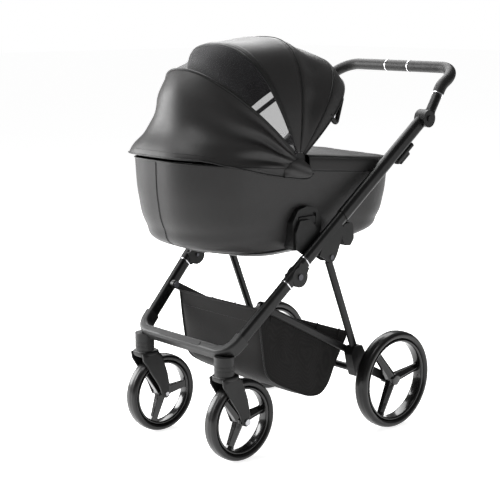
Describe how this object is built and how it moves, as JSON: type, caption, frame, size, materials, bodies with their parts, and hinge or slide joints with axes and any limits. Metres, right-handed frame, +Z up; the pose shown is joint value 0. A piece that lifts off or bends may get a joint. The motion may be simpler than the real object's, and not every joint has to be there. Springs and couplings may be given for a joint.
{
  "type": "baby stroller",
  "caption": "Baby stroller with a hooded carrycot, boot cover, tilting handle, folding chassis, swivel front wheels, sprung rear wheels and a fabric basket.",
  "frame": {"origin": "on the floor, at the centre of the whole object's outline in plan", "axes": "+Z up, -Y the way the stroller travels, +X to its left side"},
  "size_m": [0.591, 1.0331, 1.2026],
  "materials": {
    "frame_metal": "satin",
    "moulding": "satin",
    "inlay": "gloss",
    "silver_trim": "polished",
    "fastener": "satin",
    "hood_leather": "matte",
    "grip_leather": "satin",
    "mesh": "matte",
    "lining": "matte",
    "basket_fabric": "matte",
    "spring_steel": "satin",
    "tyre": "gloss",
    "rim": "gloss"
  },
  "bodies": {
    "upper_frame": {"upper_tubes": "frame_metal", "upper_sleeves": "frame_metal", "upper_rings": "silver_trim", "hinge_upper": "moulding", "leg_brackets": "moulding", "adapter_left": "moulding", "adapter_right": "moulding", "tilt_bases": "moulding", "pivot_bolts": "fastener"},
    "front_frame": {"front_crossbar": "moulding", "front_bar_inlay": "inlay", "lower_tubes": "frame_metal", "lower_rings": "silver_trim", "hinge_lower": "moulding", "strut_pins": "fastener"},
    "rear_frame": {"rear_legs": "frame_metal", "leg_eyes": "moulding", "axle_brackets": "moulding", "rear_crossbar": "frame_metal", "arm_pins": "fastener"},
    "brace": {"struts": "frame_metal", "basket": "basket_fabric"},
    "handle": {"handle_bar": "frame_metal", "handle_grip": "grip_leather", "handle_rings": "silver_trim"},
    "brake": {"brake_pedal": "moulding"},
    "carrycot": {"carrycot_shell": "hood_leather", "carrycot_base": "moulding", "mattress": "lining", "apron": "hood_leather", "cot_sockets": "moulding", "stand_feet": "moulding", "mesh_window": "mesh", "head_bow": "spring_steel", "head_panel": "hood_leather", "hood_pivots": "moulding"},
    "hood_front": {"canopy": "hood_leather", "canopy_bows": "spring_steel", "hood_hubs": "moulding", "side_grips": "grip_leather"},
    "caster_left": {"caster_fork_left": "moulding", "front_axle_left": "fastener"},
    "front_wheel_left": {"front_tyre_left": "tyre", "front_rim_left": "rim"},
    "swing_arm_left": {"swing_arm_left": "moulding"},
    "rear_wheel_left": {"rear_tyre_left": "tyre", "rear_rim_left": "rim"},
    "tilt_button_left": {"tilt_button_left": "moulding"},
    "fold_lever_left": {"fold_lever_left": "moulding"},
    "release_latch_left": {"release_latch_left": "moulding"},
    "caster_right": {"caster_fork_right": "moulding", "front_axle_right": "fastener"},
    "front_wheel_right": {"front_tyre_right": "tyre", "front_rim_right": "rim"},
    "swing_arm_right": {"swing_arm_right": "moulding"},
    "rear_wheel_right": {"rear_tyre_right": "tyre", "rear_rim_right": "rim"},
    "tilt_button_right": {"tilt_button_right": "moulding"},
    "fold_lever_right": {"fold_lever_right": "moulding"},
    "release_latch_right": {"release_latch_right": "moulding"}
  },
  "joints": [
    {"name": "fold", "type": "hinge", "parent": "upper_frame", "child": "front_frame", "pos_m": [0, -0.183, 0.516], "axis": [1, 0, 0], "range_deg": [0, 90]},
    {"name": "leg_fold", "type": "hinge", "parent": "upper_frame", "child": "rear_frame", "pos_m": [0, -0.055, 0.557], "axis": [1, 0, 0], "range_deg": [0, 65.6]},
    {"name": "strut_fold", "type": "hinge", "parent": "front_frame", "child": "brace", "pos_m": [0, -0.29, 0.441], "axis": [1, 0, 0], "range_deg": [-42.9, 0], "deforming": ["basket"]},
    {"name": "handle_tilt", "type": "hinge", "parent": "upper_frame", "child": "handle", "pos_m": [0, 0.352, 0.936], "axis": [1, 0, 0], "range_deg": [-75, 60]},
    {"name": "brake", "type": "hinge", "parent": "rear_frame", "child": "brake", "pos_m": [0, 0.075, 0.192], "axis": [1, 0, 0], "range_deg": [-15, 0]},
    {"name": "carrycot_lift", "type": "slide", "parent": "upper_frame", "child": "carrycot", "axis": [0, 0, 1], "range_m": [0, 0.1]},
    {"name": "hood_fold", "type": "hinge", "parent": "carrycot", "child": "hood_front", "pos_m": [0, -0.145, 0.842], "axis": [1, 0, 0], "range_deg": [0, 40]},
    {"name": "caster_left", "type": "hinge", "parent": "front_frame", "child": "caster_left", "pos_m": [0.181, -0.418, 0.28], "axis": [0, 0, 1], "continuous": true},
    {"name": "front_wheel_left", "type": "hinge", "parent": "caster_left", "child": "front_wheel_left", "pos_m": [0.181, -0.361, 0.119], "axis": [1, 0, 0], "continuous": true},
    {"name": "suspension_left", "type": "hinge", "parent": "rear_frame", "child": "swing_arm_left", "pos_m": [0.243, 0.098, 0.196], "axis": [1, 0, 0], "range_deg": [0, 5], "stiffness_Nm_per_rad": 140, "springref_deg": -3.44},
    {"name": "rear_wheel_left", "type": "hinge", "parent": "swing_arm_left", "child": "rear_wheel_left", "pos_m": [0.273, 0.185, 0.15], "axis": [1, 0, 0], "continuous": true},
    {"name": "tilt_button_left", "type": "slide", "parent": "handle", "child": "tilt_button_left", "axis": [-1, 0, 0], "range_m": [0, 0.003], "stiffness_N_per_m": 800, "springref_m": -0.002},
    {"name": "fold_lever_left", "type": "slide", "parent": "upper_frame", "child": "fold_lever_left", "axis": [0, 0.7992, 0.601], "range_m": [0, 0.012], "stiffness_N_per_m": 500, "springref_m": -0.006},
    {"name": "release_latch_left", "type": "slide", "parent": "carrycot", "child": "release_latch_left", "axis": [0, 0, 1], "range_m": [0, 0.006], "stiffness_N_per_m": 600, "springref_m": -0.003},
    {"name": "caster_right", "type": "hinge", "parent": "front_frame", "child": "caster_right", "pos_m": [-0.181, -0.418, 0.28], "axis": [0, 0, 1], "continuous": true},
    {"name": "front_wheel_right", "type": "hinge", "parent": "caster_right", "child": "front_wheel_right", "pos_m": [-0.181, -0.361, 0.119], "axis": [1, 0, 0], "continuous": true},
    {"name": "suspension_right", "type": "hinge", "parent": "rear_frame", "child": "swing_arm_right", "pos_m": [-0.243, 0.098, 0.196], "axis": [1, 0, 0], "range_deg": [0, 5], "stiffness_Nm_per_rad": 140, "springref_deg": -3.44},
    {"name": "rear_wheel_right", "type": "hinge", "parent": "swing_arm_right", "child": "rear_wheel_right", "pos_m": [-0.273, 0.185, 0.15], "axis": [1, 0, 0], "continuous": true},
    {"name": "tilt_button_right", "type": "slide", "parent": "handle", "child": "tilt_button_right", "axis": [1, 0, 0], "range_m": [0, 0.003], "stiffness_N_per_m": 800, "springref_m": -0.002},
    {"name": "fold_lever_right", "type": "slide", "parent": "upper_frame", "child": "fold_lever_right", "axis": [0, 0.7992, 0.601], "range_m": [0, 0.012], "stiffness_N_per_m": 500, "springref_m": -0.006},
    {"name": "release_latch_right", "type": "slide", "parent": "carrycot", "child": "release_latch_right", "axis": [0, 0, 1], "range_m": [0, 0.006], "stiffness_N_per_m": 600, "springref_m": -0.003}
  ],
  "couplings": [
    {"joint": "leg_fold", "follows": "fold", "ratio": 0.7267},
    {"joint": "strut_fold", "follows": "fold", "ratio": -0.4744}
  ]
}
